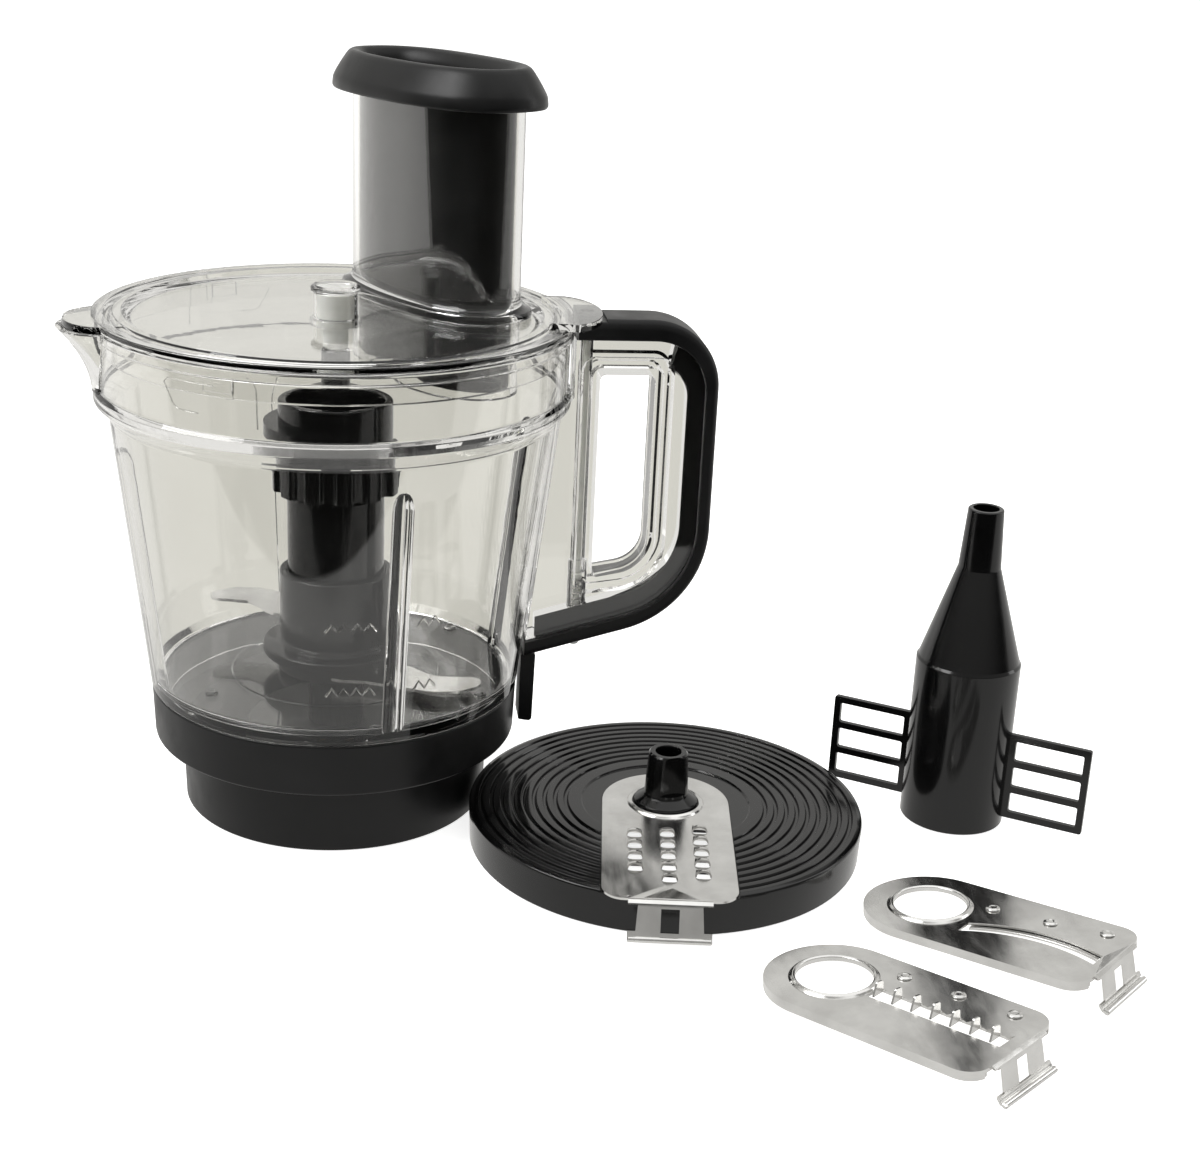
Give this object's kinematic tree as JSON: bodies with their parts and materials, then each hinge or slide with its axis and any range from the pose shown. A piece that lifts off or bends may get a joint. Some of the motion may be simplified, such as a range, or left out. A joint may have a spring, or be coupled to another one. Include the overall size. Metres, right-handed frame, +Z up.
{
  "type": "food processor",
  "caption": "Clear food processor bowl unit with geared base, turning blade tool, locking lid, feed tube and pusher, shown with a disc, cutting inserts and a whisk tool.",
  "frame": {"origin": "on the surface that everything stands on, under the middle of the whole set's box", "axes": "+Z up, +X to the viewer's right and along the bowl's handle, -Y towards the front, where the loose inserts lie"},
  "size_m": [0.4311, 0.3596, 0.313],
  "materials": {
    "clear_plastic": "clear, polished, faint warm tint",
    "black_satin": "moulded black, satin",
    "black_gloss": "moulded black, glossy",
    "natural_plastic": "milky white",
    "rubber": "matt",
    "stainless_steel": "pressed stainless sheet, lightly brushed",
    "brass": "sintered bearing metal"
  },
  "bodies": {
    "bowl_unit": {"drive_housing": "black_satin", "base_plate": "black_satin", "base_screw_1": "stainless_steel", "base_screw_2": "stainless_steel", "base_screw_3": "stainless_steel", "base_screw_4": "stainless_steel", "gearbox_housing": "black_satin", "ring_gear": "natural_plastic", "spindle_bush": "brass", "shaft_seal": "rubber", "bowl_shell": "clear_plastic", "handle_frame": "clear_plastic", "handle_strap": "black_satin", "interlock_guide": "black_satin"},
    "input_drive": {"drive_coupling": "black_satin", "input_shaft": "stainless_steel", "sun_gear": "stainless_steel"},
    "blade_tool": {"planet_carrier": "stainless_steel", "spindle_shaft": "stainless_steel", "blade_hub": "black_gloss", "hub_grip": "black_gloss", "hub_cup": "black_gloss", "centre_post": "black_gloss", "lower_blade": "stainless_steel", "upper_blade": "stainless_steel"},
    "planet_1": {"planet_gear_1": "natural_plastic"},
    "planet_2": {"planet_gear_2": "natural_plastic"},
    "planet_3": {"planet_gear_3": "natural_plastic"},
    "interlock": {"interlock_rod": "natural_plastic", "interlock_spring": "stainless_steel"},
    "lid_centre": {"lid_bearing": "natural_plastic"},
    "lid": {"lid_shell": "clear_plastic", "feed_tube": "clear_plastic", "lid_socket": "clear_plastic"},
    "pusher": {"pusher_body": "black_gloss", "pusher_flange": "black_satin"},
    "disc": {"grooved_disc": "black_gloss", "disc_stem": "black_gloss"},
    "shredder": {"shredding_insert": "stainless_steel"},
    "whisk": {"whisk_body": "black_gloss", "whisk_paddle_front": "black_gloss", "whisk_paddle_rear": "black_gloss"},
    "slicer": {"slicing_plate": "stainless_steel", "slicing_blade": "stainless_steel", "slicing_rivet_1": "stainless_steel", "slicing_rivet_2": "stainless_steel", "slicing_rivet_3": "stainless_steel"},
    "julienne": {"julienne_plate": "stainless_steel", "julienne_blade": "stainless_steel", "julienne_rivet_1": "stainless_steel", "julienne_rivet_2": "stainless_steel", "julienne_rivet_3": "stainless_steel"}
  },
  "joints": [
    {"name": "spindle_spin", "type": "hinge", "parent": "bowl_unit", "child": "blade_tool", "pos_m": [-0.106, 0.0815, 0.06], "axis": [0, 0, 1], "continuous": true},
    {"name": "coupling_spin", "type": "hinge", "parent": "bowl_unit", "child": "input_drive", "pos_m": [-0.106, 0.0815, 0.01], "axis": [0, 0, 1], "continuous": true},
    {"name": "planet_1_spin", "type": "hinge", "parent": "blade_tool", "child": "planet_1", "pos_m": [-0.088, 0.0815, 0.02], "axis": [0, 0, 1], "continuous": true},
    {"name": "planet_2_spin", "type": "hinge", "parent": "blade_tool", "child": "planet_2", "pos_m": [-0.115, 0.09709, 0.02], "axis": [0, 0, 1], "continuous": true},
    {"name": "planet_3_spin", "type": "hinge", "parent": "blade_tool", "child": "planet_3", "pos_m": [-0.115, 0.06591, 0.02], "axis": [0, 0, 1], "continuous": true},
    {"name": "lid_lift", "type": "slide", "parent": "bowl_unit", "child": "lid_centre", "axis": [0, 0, 1], "range_m": [0, 0.15]},
    {"name": "lid_turn", "type": "hinge", "parent": "lid_centre", "child": "lid", "pos_m": [-0.106, 0.0815, 0.21], "axis": [0, 0, 1], "range_deg": [0, 25]},
    {"name": "pusher_slide", "type": "slide", "parent": "lid", "child": "pusher", "axis": [0, 0, 1], "range_m": [0, 0.11]},
    {"name": "interlock_slide", "type": "slide", "parent": "bowl_unit", "child": "interlock", "axis": [0, 0, 1], "range_m": [0, 0.00184], "deforming": ["interlock_spring"]},
    {"name": "disc_slide", "type": "slide", "parent": "bowl_unit", "child": "disc", "axis": [-0.342, -0.9397, 0], "range_m": [0, 0.03]},
    {"name": "shredder_lift", "type": "slide", "parent": "disc", "child": "shredder", "axis": [0, 0, 1], "range_m": [0, 0.05]},
    {"name": "whisk_lift", "type": "slide", "parent": "bowl_unit", "child": "whisk", "axis": [0, 0, 1], "range_m": [0, 0.15]},
    {"name": "slicer_lift", "type": "slide", "parent": "bowl_unit", "child": "slicer", "axis": [0, 0, 1], "range_m": [0, 0.1]},
    {"name": "julienne_lift", "type": "slide", "parent": "bowl_unit", "child": "julienne", "axis": [0, 0, 1], "range_m": [0, 0.1]}
  ],
  "couplings": [
    {"joint": "coupling_spin", "follows": "spindle_spin", "ratio": 4.8},
    {"joint": "planet_1_spin", "follows": "spindle_spin", "ratio": -2.7143},
    {"joint": "planet_2_spin", "follows": "spindle_spin", "ratio": -2.7143},
    {"joint": "planet_3_spin", "follows": "spindle_spin", "ratio": -2.7143},
    {"joint": "interlock_slide", "follows": "lid_turn", "m_per_rad": 0.0042}
  ]
}
